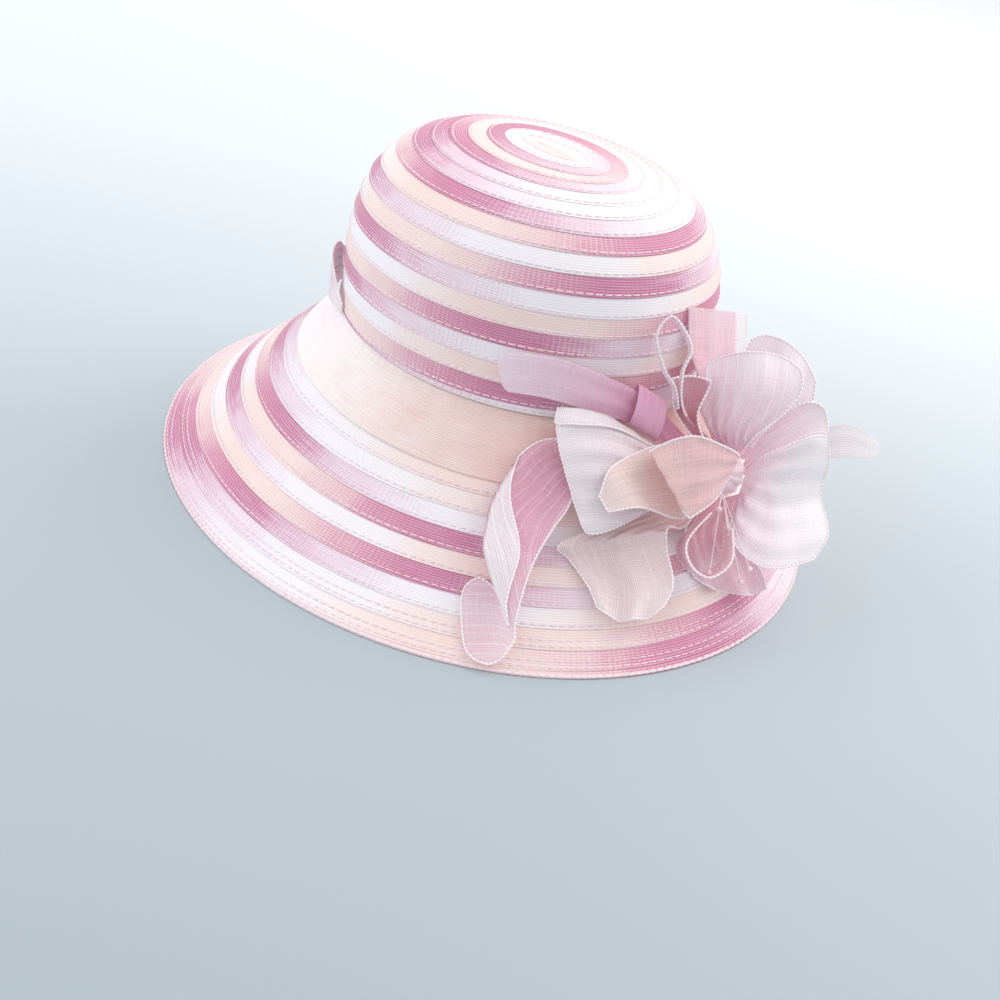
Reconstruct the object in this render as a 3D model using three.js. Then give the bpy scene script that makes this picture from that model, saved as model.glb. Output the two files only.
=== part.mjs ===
// Sun hat of narrow organza ribbon sewn in lapped rows, with a hatband and an organza flower.
// Millimetres, +Z up. The hat stands level on the edge of its brim, with the flower towards -Y.
import * as THREE from "three";

// Crown, measured outside. Its rows run round a short straight start, so each row is an oval.
const CROWN_HALF_WIDTH = 88.8;
const CROWN_HALF_LENGTH = 99.4;
const CROWN_FOOT = 82.5;
const CROWN_RISE = 91.8;
const CROWN_ROUNDING = 3.43;
const CROWN_ROWS = 17;
const TIP_HALF_WIDTH = 1.5;

// Skirt below the crown: a hollow curve, then the brim line with a slight dip, down to the edge
const BRIM_HALF_WIDTH = 164;
const BRIM_HALF_LENGTH = 180;
const BRIM_SIDE_SHIFT = -10;
const BRIM_ROWS = 9;
const BRIM_DIP = 5.8;
const HOLLOW_RADIUS = 18;
const HOLLOW_TURN = THREE.MathUtils.degToRad(54);
const BAND_WIDTH = 34;
const BAND_STEPS = 4;

// Cloth: thicknesses, laps and seams
const ROW_WALL = 1.2;
const LAP_STEP = 0.6;
const LAP_RUN = 0.5;
const SMOOTH_RUN = 2;
const EDGE_RUN = 1;
const BAND_WALL = 1;
const TUCK = 5;
const SEAM_GAP = 0.3;
const SEAT_GAP = 0.6;
const EDGE_FLAT = 2;
const PETAL_WALL = 1;

// Facets: sides round the hat, steps down its inner faces, and steps between two rows of a ribbon's table
const HAT_SIDES = 40;
const CROWN_INNER_STEPS = 9;
const BRIM_INNER_STEPS = 5;
const PETAL_STEPS = 3;

// Flower: the middle of its bound core, and the way that its face looks
const FLOWER_PLACE = new THREE.Vector3(14.4, -131.6, 62.5);
const FLOWER_AZIMUTH = THREE.MathUtils.degToRad(-57.6);
const FLOWER_LIFT = THREE.MathUtils.degToRad(29.2);
const FLOWER_ROLL = THREE.MathUtils.degToRad(16);
const CORE_RADIUS = 12;

// Sewn tie under the flower: the way from the core to the brim, in degrees, and how far that is
const STEM_TURN = 95;
const STEM_TILT = -47;
const STEM_END = 15.2;
const STEM_RADIUS = 4;
const STEM_SIDES = 8;

// Fold of the hatband: its place round the crown, and half its height
const FOLD_ANGLE = THREE.MathUtils.degToRad(141);
const FOLD_HALF_HEIGHT = 12;
const FOLD_STEPS = 8;

// Colours of the dyed ribbon
const PINK = 0xd98bb0;
const PALE_PINK = 0xf0c3d6;
const WHITE = 0xf7f1f5;
const PEACH = 0xf3d5cb;

// Side view of half the crown: a superellipse from the tip down to the foot
class DomeLine extends THREE.Curve {
  getPoint(t, target = new THREE.Vector2()) {
    const angle = (t * Math.PI) / 2;
    const power = 2 / CROWN_ROUNDING;
    const out = CROWN_HALF_WIDTH * Math.abs(Math.sin(angle)) ** power;
    const up = CROWN_RISE * Math.abs(Math.cos(angle)) ** power;
    return target.set(out, CROWN_FOOT + up);
  }
}

// Side view of the skirt: distance out from the crown's foot, and height
function skirtLine() {
  const reach = (BRIM_HALF_WIDTH - CROWN_HALF_WIDTH + BRIM_HALF_LENGTH - CROWN_HALF_LENGTH) / 2;
  const line = new THREE.CurvePath();
  const hollow = new THREE.EllipseCurve(
    HOLLOW_RADIUS, CROWN_FOOT, HOLLOW_RADIUS, HOLLOW_RADIUS, Math.PI, Math.PI + HOLLOW_TURN, false);
  const top = hollow.getPoint(1);
  const edge = new THREE.Vector2(reach, 0);
  const along = edge.clone().sub(top).normalize();
  const middle = top.clone().add(edge).multiplyScalar(0.5);
  const dip = new THREE.Vector2(along.y, -along.x).multiplyScalar(BRIM_DIP);
  line.add(hollow);
  line.add(new THREE.QuadraticBezierCurve(top, middle.add(dip), edge));
  return { line, reach };
}

const DOME = new DomeLine();
DOME.arcLengthDivisions = 600;
const CROWN_SLOPE = DOME.getLength();
const SKIRT = skirtLine();
const SKIRT_SLOPE = SKIRT.line.getLength();
const CROWN_PITCH = CROWN_SLOPE / CROWN_ROWS;
const BRIM_PITCH = (SKIRT_SLOPE - BAND_WIDTH) / BRIM_ROWS;

// Point of a side view at a distance along it, moved off the cloth by an offset
function offsetPoint(line, length, distance, offset) {
  const u = THREE.MathUtils.clamp(distance / length, 0, 1);
  const point = line.getPointAt(u);
  const along = line.getTangentAt(u);
  return new THREE.Vector2(point.x - offset * along.y, point.y + offset * along.x);
}

// Oval section of the crown, at a distance down from the tip
function crownRing(distance, offset) {
  const point = offsetPoint(DOME, CROWN_SLOPE, distance, offset);
  const halfWidth = Math.max(point.x, TIP_HALF_WIDTH);
  const start = CROWN_HALF_LENGTH - CROWN_HALF_WIDTH;
  return { halfWidth, halfLength: halfWidth + start, shift: 0, z: point.y };
}

// Oval section of the skirt, at a height and a distance out from the crown's foot
function skirtOval(out, z) {
  const spread = out / SKIRT.reach;
  return {
    halfWidth: THREE.MathUtils.lerp(CROWN_HALF_WIDTH, BRIM_HALF_WIDTH, spread),
    halfLength: THREE.MathUtils.lerp(CROWN_HALF_LENGTH, BRIM_HALF_LENGTH, spread),
    shift: Math.max(spread, 0) * BRIM_SIDE_SHIFT,
    z,
  };
}

// The same at a distance down the slope, where a distance below 0 is up inside the crown
function skirtRing(distance, offset) {
  if (distance < 0) {
    return crownRing(CROWN_SLOPE + distance, offset);
  }
  const point = offsetPoint(SKIRT.line, SKIRT_SLOPE, distance, offset);
  return skirtOval(point.x, point.y);
}

// Mesh data from vertices in rows, each joined to the next
class Skin {
  constructor() {
    this.points = [];
    this.faces = [];
  }

  add(x, y, z) {
    this.points.push(x, y, z);
    return this.points.length / 3 - 1;
  }

  quad(a, b, c, d) {
    this.faces.push(a, b, c, a, c, d);
  }

  geometry() {
    const geometry = new THREE.BufferGeometry();
    geometry.setAttribute("position", new THREE.Float32BufferAttribute(this.points, 3));
    geometry.setIndex(this.faces);
    geometry.computeVertexNormals();
    return geometry;
  }
}

// Solid through a list of oval rings: down the outside, then up the inside.
// The list closes on itself, or else its two ends are filled in at the axis.
function ringSolid(rings, closes) {
  const skin = new Skin();
  const rows = rings.map((ring) => {
    const row = [];
    for (let i = 0; i < HAT_SIDES; i += 1) {
      const angle = (i / HAT_SIDES) * 2 * Math.PI;
      const x = ring.shift + ring.halfWidth * Math.cos(angle);
      row.push(skin.add(x, ring.halfLength * Math.sin(angle), ring.z));
    }
    return row;
  });
  const pairs = closes ? rows.length : rows.length - 1;
  for (let r = 0; r < pairs; r += 1) {
    const upper = rows[r];
    const lower = rows[(r + 1) % rows.length];
    for (let i = 0; i < HAT_SIDES; i += 1) {
      const j = (i + 1) % HAT_SIDES;
      skin.quad(upper[i], lower[i], lower[j], upper[j]);
    }
  }
  if (!closes) {
    const last = rings.length - 1;
    const outside = skin.add(rings[0].shift, 0, rings[0].z);
    const inside = skin.add(rings[last].shift, 0, rings[last].z);
    for (let i = 0; i < HAT_SIDES; i += 1) {
      const j = (i + 1) % HAT_SIDES;
      skin.faces.push(outside, rows[0][i], rows[0][j]);
      skin.faces.push(inside, rows[last][j], rows[last][i]);
    }
  }
  return skin.geometry();
}

// Rings of lapped rows: each row starts low, under the row above, and ends one step proud
function lappedRows(ring, start, pitch, count) {
  const rings = [];
  for (let row = 0; row < count; row += 1) {
    rings.push(ring(start + row * pitch + LAP_RUN, 0));
    rings.push(ring(start + (row + 1) * pitch, LAP_STEP));
  }
  return rings;
}

// Rings of a smooth face between two distances
function smoothFace(ring, from, to, offset, count) {
  const rings = [];
  for (let i = 0; i <= count; i += 1) {
    rings.push(ring(THREE.MathUtils.lerp(from, to, i / count), offset));
  }
  return rings;
}

function crown() {
  const outer = lappedRows(crownRing, 0, CROWN_PITCH, CROWN_ROWS);
  const inner = smoothFace(crownRing, CROWN_SLOPE, 0, -ROW_WALL, CROWN_INNER_STEPS);
  return ringSolid([...outer, ...inner], false);
}

// Offsets of the tucked edges: under the crown's last row, and under the band's lower edge
const BAND_TUCKED = -ROW_WALL - SEAM_GAP;
const BAND_FACE = -SEAM_GAP;
const BRIM_TUCKED = BAND_FACE - BAND_WALL - SEAM_GAP;

function hatband() {
  const outer = [skirtRing(-TUCK, BAND_TUCKED), skirtRing(LAP_RUN, BAND_TUCKED)];
  outer.push(...smoothFace(skirtRing, SMOOTH_RUN, BAND_WIDTH, BAND_FACE, BAND_STEPS));
  const inner = smoothFace(skirtRing, BAND_WIDTH, SMOOTH_RUN, BAND_FACE - BAND_WALL, BAND_STEPS);
  inner.push(skirtRing(LAP_RUN, BAND_TUCKED - BAND_WALL));
  inner.push(skirtRing(-TUCK, BAND_TUCKED - BAND_WALL));
  return ringSolid([...outer, ...inner], true);
}

function brim() {
  const start = BAND_WIDTH - TUCK;
  const outer = [skirtRing(start, BRIM_TUCKED), skirtRing(BAND_WIDTH + LAP_RUN, BRIM_TUCKED)];
  outer.push(...lappedRows(skirtRing, BAND_WIDTH + EDGE_RUN, BRIM_PITCH, BRIM_ROWS - 1));
  outer.push(skirtRing(SKIRT_SLOPE - BRIM_PITCH + SMOOTH_RUN, 0));
  outer.push(skirtRing(SKIRT_SLOPE - EDGE_RUN, LAP_STEP / 2));
  const foot = [skirtOval(SKIRT.reach, 0), skirtOval(SKIRT.reach - EDGE_FLAT, 0)];
  const [low, high] = [SKIRT_SLOPE - BRIM_PITCH, BAND_WIDTH + SMOOTH_RUN];
  const inner = smoothFace(skirtRing, low, high, -ROW_WALL, BRIM_INNER_STEPS);
  const tucked = [skirtRing(BAND_WIDTH, BRIM_TUCKED - ROW_WALL), skirtRing(start, BRIM_TUCKED - ROW_WALL)];
  return ringSolid([...outer, ...foot, ...inner, ...tucked], true);
}

// Ribbon pieces of the flower. Each row is one section of the ribbon, from the core outwards:
// x to the right, y up, z towards the eye, half its width, the turn of its width in the picture,
// the lean of its width towards the eye, and the depth to which it is cupped away from the eye.
// A seat is where the ribbon starts on the core, round takes off the corners of the free end,
// and a frill waves that end.
const COLUMNS = ["x", "y", "z", "half", "turn", "lean", "cup"];

const PETALS = {
  petal_left: {
    colour: WHITE,
    across: 6,
    seat: { turn: 178, tilt: 38, half: 4, across: 95 },
    rows: [
      [-29, -1, 25, 14, 95, 0, -2],
      [-47, 1, 42, 25, 98, 0, -4],
      [-60, 1, 48, 29, 102, 0, -4],
      [-67, 1, 46, 28, 102, 0, -3],
    ],
    round: 0.05,
    frill: { waves: 1, depth: 1.5 },
  },
  petal_centre: {
    colour: PEACH,
    across: 4,
    seat: { turn: 10, tilt: 80, half: 3.5, across: 80 },
    rows: [
      [6.5, 2.5, 32, 4.5, 65, 0, 0],
      [0, 0, 44, 11.5, 83, 0, 0],
      [-12, -2, 52, 17.5, 90, 0, 0],
      [-23, -4, 47, 15, 119, 0, 0],
      [-19, -4, 29, 17, 101, 0, 0],
      [-28, -5, 35, 16, 110, 0, 0],
      [-41, -7, 52, 10.5, 126, 0, 0],
      [-50, -14, 55, 4, 120, 0, 0],
    ],
  },
  petal_lower_left: {
    colour: PEACH,
    across: 6,
    seat: { turn: 225, tilt: 25, half: 3.5, across: -40 },
    rows: [
      [-21, -20, 19, 8, -35, -20, -1],
      [-46, -34, 37, 23, -3, -20, -3],
      [-38, -50, 44, 18.5, 0, -15, -4],
      [-37, -64, 48, 12, 0, -10, -2],
    ],
    round: 0.1,
    frill: { waves: 1.5, depth: 2 },
  },
  petal_lower: {
    colour: PINK,
    across: 2,
    seat: { turn: 262, tilt: 45, half: 3, across: 0 },
    rows: [
      [-9, -22, 24, 7, 0, 75, 0],
      [-17, -33, 27, 9, 0, 75, 0],
      [-14, -43, 28, 10, 0, 75, 0],
      [-6, -47, 27, 10, 0, 75, 0],
      [3, -40, 25, 9, 0, 75, 0],
      [4, -26, 22, 7, 0, 75, 0],
    ],
  },
  petal_under: {
    colour: PINK,
    across: 6,
    seat: { turn: 268, tilt: 10, half: 4, across: -10 },
    rows: [
      [-1, -30, 5, 9, -10, -25, -2],
      [6, -45, 3, 16, -10, -25, -3],
      [9, -57, 3, 17, -10, -25, -2],
    ],
    round: 0.12,
    frill: { waves: 1.5, depth: 3 },
  },
  petal_right: {
    colour: WHITE,
    across: 6,
    seat: { turn: 350, tilt: 20, half: 4, across: 90 },
    rows: [
      [20, -7, 12, 19, 90, 0, -3],
      [36, -13, 13, 30, 90, 0, -7],
      [52, -13, 0, 29, 90, 0, -7],
    ],
    round: 0.1,
    frill: { waves: 1.5, depth: 2.5 },
  },
  petal_upper_right: {
    colour: PALE_PINK,
    across: 6,
    seat: { turn: 62, tilt: 22, half: 4, across: -15 },
    rows: [
      [5, 20, 13, 12, -15, 0, -2],
      [12, 37, 14, 24, -3, 0, -5],
      [14, 54, 12, 21, 0, 0, -4],
    ],
    round: 0.14,
    frill: { waves: 1.5, depth: 2 },
  },
  petal_back: {
    colour: PALE_PINK,
    across: 6,
    seat: { turn: 48, tilt: -22, half: 4, across: -45 },
    rows: [
      [14, 22, -12, 8, -45, 0, 0],
      [26, 41, -17, 19, -35, 0, -3],
      [32, 61, -20, 17, -35, 0, -2],
    ],
    round: 0.12,
    frill: { waves: 1.5, depth: 2 },
  },
  petal_small: {
    colour: PINK,
    across: 4,
    seat: { turn: 22, tilt: -4, half: 3, across: 100 },
    rows: [
      [23, 14, -2, 6, 105, 0, 0],
      [39, 23, -4, 9, 105, 0, -2],
      [50, 25, -6, 7, 100, 0, -2],
    ],
    round: 0.1,
  },
  loop_upright: {
    colour: PALE_PINK,
    across: 2,
    seat: { turn: 112, tilt: 26, half: 3, across: 40 },
    rows: [
      [-16, 26, 23, 4, 0, 80, 0],
      [-17, 43, 36, 4, 0, 80, 0],
      [-13, 55, 40, 4, 0, 80, 0],
      [-21, 68, 44, 4, 0, 80, 0],
      [-28, 60, 42, 4, 0, 80, 0],
      [-25, 46, 37, 4, 0, 80, 0],
    ],
  },
  loop_small: {
    colour: PINK,
    across: 2,
    seat: { turn: 82, tilt: 50, half: 3, across: 0 },
    rows: [
      [-4, 18, 20, 5, 0, 75, 0],
      [-10, 30, 24, 5, 0, 75, 0],
      [-9, 38, 26, 5, 0, 75, 0],
      [-3, 37, 26, 5, 0, 75, 0],
      [-1, 26, 24, 5, 0, 75, 0],
    ],
  },
  ribbon_back: {
    colour: PALE_PINK,
    across: 4,
    seat: { turn: 85, tilt: -15, half: 4, across: -10 },
    rows: [
      [6, 32, -4, 8, 0, -40, 0],
      [6, 56, 0, 15, 0, -40, 0],
      [6, 75, 4, 16, 0, -40, 0],
    ],
  },
  tail_flat: {
    colour: PINK,
    across: 4,
    seat: { turn: 150, tilt: 18, half: 3, across: 60 },
    rows: [
      [-35, 27, 27, 7.5, 70, 25, 0],
      [-52, 34, 44, 9.5, 75, 28, 0],
      [-73, 41, 54, 10, 80, 28, 0],
      [-96, 44, 58, 9, 92, 28, 0],
    ],
  },
  ribbon_knot: {
    colour: PINK,
    across: 2,
    rows: [
      [-36.5, 29.5, 23.5, 8, 148, 38, 0],
      [-34, 34.5, 27.5, 8, 148, 38, 0],
      [-32, 35.5, 31, 8, 148, 38, 0],
      [-32, 31.5, 32.5, 8, 148, 38, 0],
      [-33.5, 25, 30.5, 8, 148, 38, 0],
      [-36, 19.5, 26.5, 8, 148, 38, 0],
      [-38, 18.5, 23, 8, 148, 38, 0],
      [-38.5, 22.5, 21.5, 8, 148, 38, 0],
      [-37.5, 27, 22.5, 8, 148, 38, 0],
    ],
  },
  tail_twisted: {
    colour: PALE_PINK,
    across: 4,
    seat: { turn: 196, tilt: 5, half: 3, across: 110 },
    rows: [
      [-29, -2, 15, 5, 110, 0, 0],
      [-50, 2, 31, 7, 110, 0, 0],
      [-72, 0, 42, 13, 115, 0, 0],
      [-87, -22, 53, 13, 165, 0, 0],
      [-90, -37, 57, 9, 190, 25, 0],
      [-95, -50, 62, 12, 180, 15, 0],
      [-95, -62, 67, 11, 180, 10, 0],
      [-89, -79, 73, 6, 180, 10, 0],
    ],
  },
  tail_white: {
    colour: WHITE,
    across: 4,
    seat: { turn: 8, tilt: -28, half: 3, across: 90 },
    rows: [
      [36, 10, -16, 5, 95, 0, 0],
      [58, 15, -18, 8, 95, 0, 0],
      [75, 11, -20, 5, 95, 0, 0],
    ],
    round: 0.1,
  },
};

// The same table for the fold, with x along the crown, y up and z out from it
const BAND_FOLD = {
  rows: [
    [-21, 0, -0.5, 11, 90, 0, 0],
    [-11, 0, 3.5, FOLD_HALF_HEIGHT, 90, 0, 0],
    [0, 0, 6, FOLD_HALF_HEIGHT, 90, 0, 0],
    [11, 0, 3.5, FOLD_HALF_HEIGHT, 90, 0, 0],
    [21, 0, -0.5, 11, 90, 0, 0],
  ],
};

// Unit vector at a turn in the picture and a tilt towards the eye, both in degrees
function direction(turn, tilt) {
  const t = THREE.MathUtils.degToRad(turn);
  const e = THREE.MathUtils.degToRad(tilt);
  return new THREE.Vector3(Math.cos(t) * Math.cos(e), Math.sin(t) * Math.cos(e), Math.sin(e));
}

// All the sections of a ribbon piece, from its seat on the core to its free end
function sections({ seat, rows }) {
  const others = rows.map((row) => Object.fromEntries(COLUMNS.map((name, i) => [name, row[i]])));
  if (!seat) {
    return others;
  }
  const { x, y, z } = direction(seat.turn, seat.tilt).multiplyScalar(CORE_RADIUS + SEAT_GAP);
  return [{ x, y, z, half: seat.half, turn: seat.across, lean: 0, cup: 0 }, ...others];
}

// Middle surface of a ribbon piece: its sections joined by smooth curves, with u along it.
// Across a section, v goes from -1 to 1, on a parabola as deep as the cup.
function ribbonSurface(piece) {
  const rows = sections(piece);
  const { round = 0, frill = { waves: 0, depth: 0 } } = piece;
  const curve = (a, b, c) =>
    new THREE.CatmullRomCurve3(rows.map((r) => new THREE.Vector3(r[a], r[b], r[c])), false, "catmullrom");
  const path = curve("x", "y", "z");
  const widths = curve("half", "turn", "lean");
  const cups = curve("cup", "cup", "cup");
  return (along, v) => {
    const u = along * (1 - round * v ** 4);
    const { x: half, y: turn, z: lean } = widths.getPoint(u);
    const across = direction(turn, lean);
    const bulge = path.getTangent(u).cross(across).normalize();
    const wave = frill.depth * u * u * Math.sin(Math.PI * frill.waves * (v + 1));
    const point = path.getPoint(u).addScaledVector(across, half * v);
    return point.addScaledVector(bulge, cups.getPoint(u).x * (1 - v * v) + wave);
  };
}

// Closed sheet of even thickness about a surface
function sheetSolid(surface, steps, strips) {
  const skin = new Skin();
  const delta = 1e-3;
  const faces = { front: [], back: [] };
  for (let i = 0; i <= steps; i += 1) {
    const front = [];
    const back = [];
    for (let j = 0; j <= strips; j += 1) {
      const u = i / steps;
      const v = (2 * j) / strips - 1;
      const along = surface(Math.min(u + delta, 1), v).sub(surface(Math.max(u - delta, 0), v));
      const across = surface(u, v + delta).sub(surface(u, v - delta));
      const normal = along.cross(across).normalize().multiplyScalar(PETAL_WALL / 2);
      const point = surface(u, v);
      front.push(skin.add(point.x + normal.x, point.y + normal.y, point.z + normal.z));
      back.push(skin.add(point.x - normal.x, point.y - normal.y, point.z - normal.z));
    }
    faces.front.push(front);
    faces.back.push(back);
  }
  const { front, back } = faces;
  for (let i = 0; i < steps; i += 1) {
    for (let j = 0; j < strips; j += 1) {
      skin.quad(front[i][j], front[i + 1][j], front[i + 1][j + 1], front[i][j + 1]);
      skin.quad(back[i][j], back[i][j + 1], back[i + 1][j + 1], back[i + 1][j]);
    }
    skin.quad(front[i][0], back[i][0], back[i + 1][0], front[i + 1][0]);
    skin.quad(front[i][strips], front[i + 1][strips], back[i + 1][strips], back[i][strips]);
  }
  for (let j = 0; j < strips; j += 1) {
    skin.quad(front[0][j], front[0][j + 1], back[0][j + 1], back[0][j]);
    skin.quad(front[steps][j], back[steps][j], back[steps][j + 1], front[steps][j + 1]);
  }
  return skin.geometry();
}

// Named mesh of dyed organza
function organza(name, geometry, colour) {
  const material = new THREE.MeshStandardMaterial({ color: colour, roughness: 0.75, metalness: 0 });
  const mesh = new THREE.Mesh(geometry, material);
  mesh.name = name;
  return mesh;
}

// Fold of the hatband: its ends lie on the crown, and its middle stands off it
function bandFold() {
  const group = new THREE.Group();
  const angle = FOLD_ANGLE;
  const x = CROWN_HALF_WIDTH * Math.cos(angle);
  const y = CROWN_HALF_LENGTH * Math.sin(angle);
  const facing = Math.atan2(y / CROWN_HALF_LENGTH ** 2, x / CROWN_HALF_WIDTH ** 2);
  group.position.set(x, y, CROWN_FOOT + FOLD_HALF_HEIGHT + SEAM_GAP);
  group.rotateZ(facing + Math.PI / 2);
  group.rotateX(Math.PI / 2);
  group.add(organza("band_fold", sheetSolid(ribbonSurface(BAND_FOLD), FOLD_STEPS, 2), PINK));
  return group;
}

// Short plain tie between the flower's core and the brim
function flowerStem() {
  const way = direction(STEM_TURN, STEM_TILT);
  const start = CORE_RADIUS + SEAM_GAP;
  const length = STEM_END - start;
  const tie = new THREE.CylinderGeometry(STEM_RADIUS, STEM_RADIUS, length, STEM_SIDES);
  const mesh = organza("flower_stem", tie, PALE_PINK);
  mesh.position.copy(FLOWER_PLACE).addScaledVector(way, start + length / 2);
  mesh.quaternion.setFromUnitVectors(new THREE.Vector3(0, 1, 0), way);
  return mesh;
}

function flower() {
  const group = new THREE.Group();
  group.position.copy(FLOWER_PLACE);
  group.rotateZ(FLOWER_AZIMUTH);
  group.rotateX(Math.PI / 2 - FLOWER_LIFT);
  group.rotateZ(FLOWER_ROLL);
  group.add(organza("flower_core", new THREE.IcosahedronGeometry(CORE_RADIUS, 2), PALE_PINK));
  Object.entries(PETALS).forEach(([name, piece]) => {
    const steps = piece.rows.length * PETAL_STEPS;
    group.add(organza(name, sheetSolid(ribbonSurface(piece), steps, piece.across), piece.colour));
  });
  return group;
}

const hat = new THREE.Group();
hat.add(organza("crown", crown(), PALE_PINK));
hat.add(organza("hatband", hatband(), PEACH));
hat.add(organza("brim", brim(), PALE_PINK));
hat.add(bandFold());
hat.add(flowerStem());
hat.add(flower());

// The origin lies on the table, under the middle of all the pieces
const middle = new THREE.Box3().setFromObject(hat, true).getCenter(new THREE.Vector3());
hat.position.set(-middle.x, -middle.y, 0);

export default hat;
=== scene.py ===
# Looks of a sun hat of dyed ribbon sewn in lapped spiral rows, with a hatband and an organza flower
import math

import bpy
import numpy as np
from mathutils import Matrix, Vector


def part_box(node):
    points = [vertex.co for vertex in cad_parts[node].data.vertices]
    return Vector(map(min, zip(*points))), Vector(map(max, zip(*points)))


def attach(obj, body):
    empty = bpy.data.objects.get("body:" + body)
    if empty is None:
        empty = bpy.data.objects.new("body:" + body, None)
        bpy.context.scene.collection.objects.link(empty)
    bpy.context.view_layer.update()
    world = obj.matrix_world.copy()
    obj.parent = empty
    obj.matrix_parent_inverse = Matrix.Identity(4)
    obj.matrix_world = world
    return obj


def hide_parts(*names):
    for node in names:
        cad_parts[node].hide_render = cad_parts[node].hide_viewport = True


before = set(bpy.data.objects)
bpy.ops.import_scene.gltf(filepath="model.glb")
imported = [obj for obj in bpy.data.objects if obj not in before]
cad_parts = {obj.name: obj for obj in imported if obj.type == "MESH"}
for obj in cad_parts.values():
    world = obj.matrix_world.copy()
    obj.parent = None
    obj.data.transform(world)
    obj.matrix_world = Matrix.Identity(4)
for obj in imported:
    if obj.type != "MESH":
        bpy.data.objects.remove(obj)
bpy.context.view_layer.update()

MM = 0.001
TURN = 2 * math.pi
# Millimetres in one unit of the cloth layer, which runs along a cloth and across it
CLOTH_UNIT = 10.0

# Crown, in millimetres about its own axis. Its rows run round a short straight start.
CROWN_HALF_WIDTH = 88.8
CROWN_HALF_LENGTH = 99.4
CROWN_FOOT = 82.5
CROWN_RISE = 91.8
CROWN_ROUNDING = 3.43
CROWN_ROWS = 17
START_HALF_LENGTH = CROWN_HALF_LENGTH - CROWN_HALF_WIDTH
START_GAP = 0.05

# Skirt below the crown: a hollow curve, then the brim line with a slight dip, down to the edge
BRIM_HALF_WIDTH = 164.0
BRIM_HALF_LENGTH = 180.0
BRIM_SIDE_SHIFT = -10.0
BRIM_ROWS = 9
BRIM_DIP = 5.8
HOLLOW_RADIUS = 18.0
HOLLOW_TURN = math.radians(54)
SKIRT_REACH = (BRIM_HALF_WIDTH - CROWN_HALF_WIDTH + BRIM_HALF_LENGTH - CROWN_HALF_LENGTH) / 2
FLOOR_GAP = 0.15

# Rows: thickness of a ribbon, how far one row lies over the next, the height of that step, places
# across a ribbon, and the turns that the spiral leaves out at its start and its end
RIBBON_THICK = 0.3
ROW_LAP = 1.4
ROW_LIFT = 0.42
ROW_BULGE = 0.06
ROW_PLACES = np.array([0, 0.03, 0.3, 0.6, 0.97, 1])
ROW_MIDDLE = 3
SPIRAL_START = 0.1
SPIRAL_END = 0.02
CROWN_STEPS = 120
BRIM_STEPS = 150

# Tuck of the brim's first row under the band: how deep it lies, where it comes up, and over what length
TUCK_SINK = 0.95
TUCK_SHOWS = 0.9
TUCK_SLOPE = 0.7

# Hatband: its width, its tucked edge, how deep it lies, its soft folds as depth, number round the hat
# and slant, its small puckers, and the column of its grid that its length is measured along
BAND_WIDTH = 34.0
TUCK = 5.0
TUCK_BEND = -2.0
TUCK_END = 0.5
TUCK_RISE = 1.5
BAND_SINK = 1.5
BAND_LOW = 0.3
BAND_RELIEF = 0.18
BAND_FOLDS = ((0.55, 5, 4.5), (0.3, 13, -7))
PUCKER_DEPTH = 0.18
PUCKERS = 70
PUCKER_SWING = 5
PUCKER_SWINGS = 6
PUCKER_FADE = 5
BAND_STEPS = 481
BAND_COLUMNS = 31
BAND_MIDDLE = 15

# Sewing: length of a stitch, its pitch, its thread, its distance from the row's lower edge, and its
# sections as places along it, heights and radii. The last rows have a second line of stitches.
STITCH_LENGTH = 3.7
STITCH_PITCH = 4.4
STITCH_RADIUS = 0.33
STITCH_INSET = 1.5
STITCH_PLACES = np.array([-1, -0.8, 0, 0.8, 1])
STITCH_HEIGHTS = STITCH_RADIUS * np.array([-0.7, 0.3, 0.6, 0.3, -0.7])
STITCH_RADII = STITCH_RADIUS * np.array([0.4, 0.9, 1.0, 0.9, 0.4])
STITCH_SIDES = 6
SECOND_INSET = 4.2
DOUBLE_ROWS = 2
FIRST_STITCHES = 0.3

# Hems: cords with a knot at each stitch of the hem
EDGE_CORD_RADIUS = 0.6
EDGE_KNOTS = 280
EDGE_STEPS = 1201
HEM_RADIUS = 0.48
HEM_KNOT = 0.34
HEM_PITCH = 2.0
HEM_START = 0.12
HEM_SIDE_STEPS = 240
HEM_END_STEPS = 160

# Dye: the length of ribbon in which the colours come round again, where the ribbon starts in it,
# how far the colours run ahead at the tip, and the place round the hat where its winding starts
CROWN_DYE = dict(repeat=353.75, start=0.82, tip=0.38)
BRIM_DYE = dict(repeat=351.5, start=-0.01, tip=0.0)
TIP_LENGTH = 400.0
CROWN_TURN_START = math.radians(100)
BRIM_TURN_START = math.radians(120)

# Flower: the middle of its bound core, the way that its face looks, and the pleats of the core
FLOWER_PLACE = np.array([14.4, -131.6, 62.5])
FLOWER_AZIMUTH = math.radians(-57.6)
FLOWER_LIFT = math.radians(29.2)
FLOWER_ROLL = math.radians(16)
CORE_RADIUS = 12.0
CORE_SINK = 0.7
CORE_PLEATS = 12
CORE_PLEAT_DEPTH = 0.5
CORE_PLEAT_SLANT = 2
SEAT_GAP = 0.6

# Ribbons of the flower: thickness, and the grid of a ribbon
PETAL_THICK = 0.4
RIBBON_STEPS = 73
RIBBON_COLUMNS = 37

# Turned edges: roundness of the turn as a share of the half width, and how softly the edge lifts.
# Pleats: how soon they start along a ribbon, and how much of them is gone at its free end.
TURN_ROUNDING = 0.03
TURN_SOFTNESS = 0.1
TURN_START = 5
PLEAT_START = 4
PLEAT_FADE = 0.85

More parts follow.
